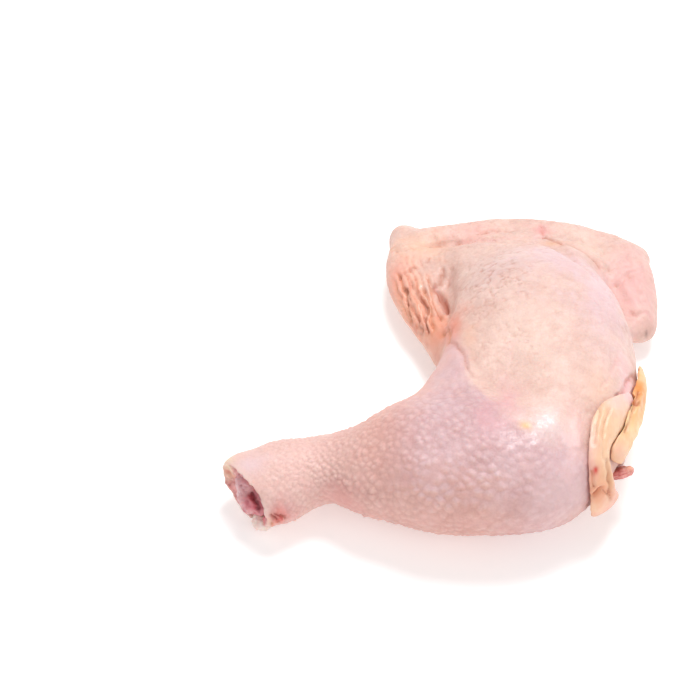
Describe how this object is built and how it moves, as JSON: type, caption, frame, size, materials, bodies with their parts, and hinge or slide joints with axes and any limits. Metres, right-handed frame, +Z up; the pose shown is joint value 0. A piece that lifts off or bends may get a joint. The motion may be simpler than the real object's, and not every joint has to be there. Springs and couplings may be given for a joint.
{
  "type": "raw chicken leg with drumstick and thigh",
  "caption": "Raw chicken leg with the skin on, drumstick and thigh in one piece, cut at the hock, lying on its flat side.",
  "frame": {"origin": "centre of the part's bounding box in plan, on the plane that the leg lies on", "axes": "+Z up, through the leg's thickness, which is its shortest size; +X from the hock towards the knee; +Y from the drumstick towards the hip end of the thigh"},
  "size_m": [0.163, 0.1554, 0.0452],
  "materials": {
    "skin": "wet raw poultry skin, pink and cream with raised pores, satin to glossy",
    "bone": "wet pink cartilage over the bone's end",
    "tendon": "wet whitish tendon",
    "fat_pale": "wet cream fat with an orange tinge",
    "fat_yellow": "wet yellow-orange fat",
    "meat": "wet red torn meat"
  },
  "bodies": {
    "root": {"leg": "skin", "shank_bone": "bone", "hock_tendon": "tendon", "fat_front": "fat_pale", "fat_rear": "fat_yellow", "meat_tag": "meat"}
  },
  "joints": []
}
